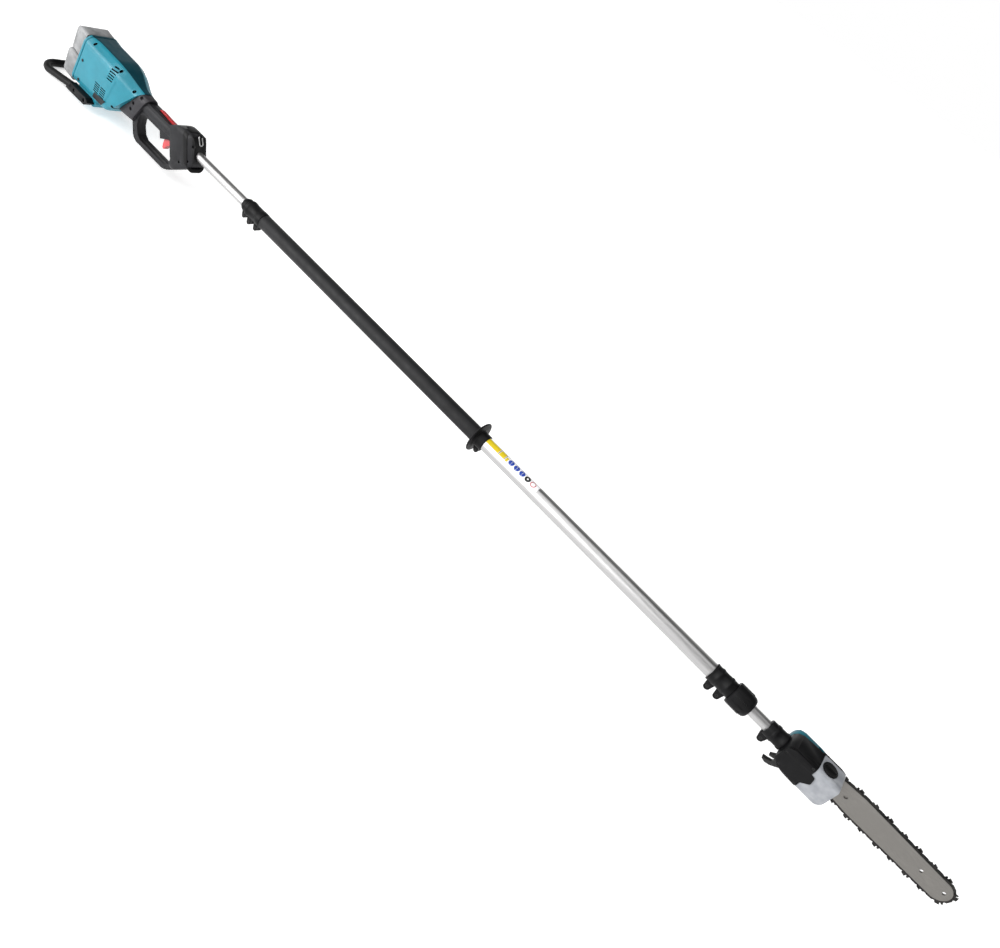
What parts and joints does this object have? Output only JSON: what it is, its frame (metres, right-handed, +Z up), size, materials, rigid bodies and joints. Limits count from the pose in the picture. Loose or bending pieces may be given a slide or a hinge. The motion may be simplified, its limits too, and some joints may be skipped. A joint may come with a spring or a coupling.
{
  "type": "telescoping pole saw",
  "caption": "Battery chain saw head on a telescoping pole, with a D-handle, trigger and lock-off lever, a soft front grip, a rear guard and slide-in battery packs.",
  "frame": {"origin": "centre of the bounding box at its lowest point, under the rear guard", "axes": "+X along the pole towards the tip of the saw, +Z up, +Y to the user's left; the pole axis is at z = 0.114 m"},
  "size_m": [2.7684, 0.115, 0.1671],
  "materials": {
    "teal_shell": "satin",
    "black_plastic": "matte",
    "grey_handle": "matte",
    "grey_casting": "satin",
    "black_casting": "satin",
    "pole_aluminium": "satin",
    "machined_aluminium": "satin",
    "soft_grip": "matte",
    "cut_steel": "brushed",
    "black_steel": "satin",
    "bar_steel": "brushed",
    "chain_steel": "satin",
    "terminal_brass": "satin",
    "natural_plastic": "matte",
    "tank_plastic": "translucent",
    "pink_trigger": "satin",
    "red_lever": "gloss",
    "pale_pack": "satin"
  },
  "bodies": {
    "power_unit": {"housing_right": "teal_shell", "housing_left": "teal_shell", "battery_bay": "black_plastic", "battery_terminals": "terminal_brass", "controller": "machined_aluminium", "motor_stator": "cut_steel", "motor_bearings": "cut_steel", "motor_end_bell": "machined_aluminium", "neck": "grey_casting", "grip_right": "grey_handle", "grip_left": "grey_handle", "switch_unit": "black_plastic", "strap_bracket": "black_plastic", "strap_eye": "cut_steel", "rear_guard": "black_plastic", "housing_screws": "black_steel", "handle_screws": "black_steel", "guard_screws": "black_steel", "rear_pipe": "pole_aluminium", "rear_holder": "black_plastic", "clamp_bolts": "cut_steel", "outer_pipe": "pole_aluminium", "grip_sleeve": "soft_grip", "hand_guard": "black_plastic", "front_holder": "black_plastic", "collet": "natural_plastic", "shaft_bushes": "natural_plastic"},
    "rotor": {"motor_rotor": "cut_steel", "cooling_fan": "black_plastic", "shaft_coupling": "cut_steel", "drive_tube": "cut_steel"},
    "inner_pole": {"inner_pipe": "pole_aluminium", "guide_bush": "natural_plastic", "head_clamp": "black_plastic", "gear_case": "black_casting", "side_cover": "black_plastic", "oil_tank": "tank_plastic", "oil_pump": "terminal_brass", "sprocket_cover": "teal_shell", "guide_bar": "bar_steel", "saw_chain": "chain_steel", "bar_stud": "cut_steel", "chain_tensioner": "cut_steel", "branch_hook": "black_steel", "head_screws": "black_steel"},
    "head_drive": {"head_shaft": "cut_steel", "bevel_pinion": "cut_steel"},
    "sprocket": {"sprocket_shaft": "cut_steel", "bevel_gear": "cut_steel", "drive_sprocket": "cut_steel"},
    "bar_nut": {"bar_nut": "cut_steel"},
    "lock_nut": {"lock_nut": "black_plastic"},
    "trigger": {"trigger": "pink_trigger"},
    "lock_off": {"lock_off_lever": "red_lever"},
    "power_button": {"power_button": "black_plastic"},
    "upper_battery": {"battery_upper": "pale_pack"},
    "upper_latch": {"battery_upper_latch": "pale_pack"},
    "lower_battery": {"battery_lower": "pale_pack"},
    "lower_latch": {"battery_lower_latch": "pale_pack"},
    "oil_cap": {"oil_cap": "black_plastic"}
  },
  "joints": [
    {"name": "motor_spin", "type": "hinge", "parent": "power_unit", "child": "rotor", "pos_m": [-1.0965, 0, 0.114], "axis": [1, 0, 0], "continuous": true},
    {"name": "pole_slide", "type": "slide", "parent": "power_unit", "child": "inner_pole", "axis": [1, 0, 0], "range_m": [0, 1.2]},
    {"name": "head_drive_spin", "type": "hinge", "parent": "inner_pole", "child": "head_drive", "pos_m": [1.0035, 0, 0.114], "axis": [1, 0, 0], "continuous": true},
    {"name": "sprocket_spin", "type": "hinge", "parent": "inner_pole", "child": "sprocket", "pos_m": [1.0455, 0, 0.114], "axis": [0, 1, 0], "continuous": true},
    {"name": "bar_nut_turn", "type": "hinge", "parent": "inner_pole", "child": "bar_nut", "pos_m": [1.0735, 0.03, 0.115], "axis": [0, 1, 0], "range_deg": [0, 360]},
    {"name": "lock_nut_turn", "type": "hinge", "parent": "power_unit", "child": "lock_nut", "pos_m": [0.9035, 0, 0.114], "axis": [1, 0, 0], "range_deg": [0, 90]},
    {"name": "trigger_pull", "type": "hinge", "parent": "power_unit", "child": "trigger", "pos_m": [-0.8895, 0, 0.0982], "axis": [0, 1, 0], "range_deg": [0, 7], "stiffness_Nm_per_rad": 0.6, "springref_deg": -20.05},
    {"name": "lock_off_press", "type": "hinge", "parent": "power_unit", "child": "lock_off", "pos_m": [-0.9015, 0, 0.1292], "axis": [0, -1, 0], "range_deg": [0, 3.5], "stiffness_Nm_per_rad": 0.5, "springref_deg": -17.19},
    {"name": "power_press", "type": "slide", "parent": "power_unit", "child": "power_button", "axis": [0, 0, -1], "range_m": [0, 0.0015], "stiffness_N_per_m": 600, "springref_m": -0.002},
    {"name": "upper_battery_slide", "type": "slide", "parent": "power_unit", "child": "upper_battery", "axis": [-0.9903, 0, 0.1392], "range_m": [0, 0.07]},
    {"name": "upper_latch_press", "type": "slide", "parent": "upper_battery", "child": "upper_latch", "axis": [0.9903, 0, -0.1392], "range_m": [0, 0.0024], "stiffness_N_per_m": 900, "springref_m": -0.002},
    {"name": "lower_battery_slide", "type": "slide", "parent": "power_unit", "child": "lower_battery", "axis": [-0.9903, 0, 0.1392], "range_m": [0, 0.07]},
    {"name": "lower_latch_press", "type": "slide", "parent": "lower_battery", "child": "lower_latch", "axis": [0.9903, 0, -0.1392], "range_m": [0, 0.0024], "stiffness_N_per_m": 900, "springref_m": -0.002},
    {"name": "oil_cap_turn", "type": "hinge", "parent": "inner_pole", "child": "oil_cap", "pos_m": [1.086, -0.011, 0.15], "axis": [0, 0, 1], "range_deg": [0, 360]}
  ],
  "couplings": [
    {"joint": "head_drive_spin", "follows": "motor_spin", "ratio": 1},
    {"joint": "sprocket_spin", "follows": "motor_spin", "ratio": -0.625}
  ]
}
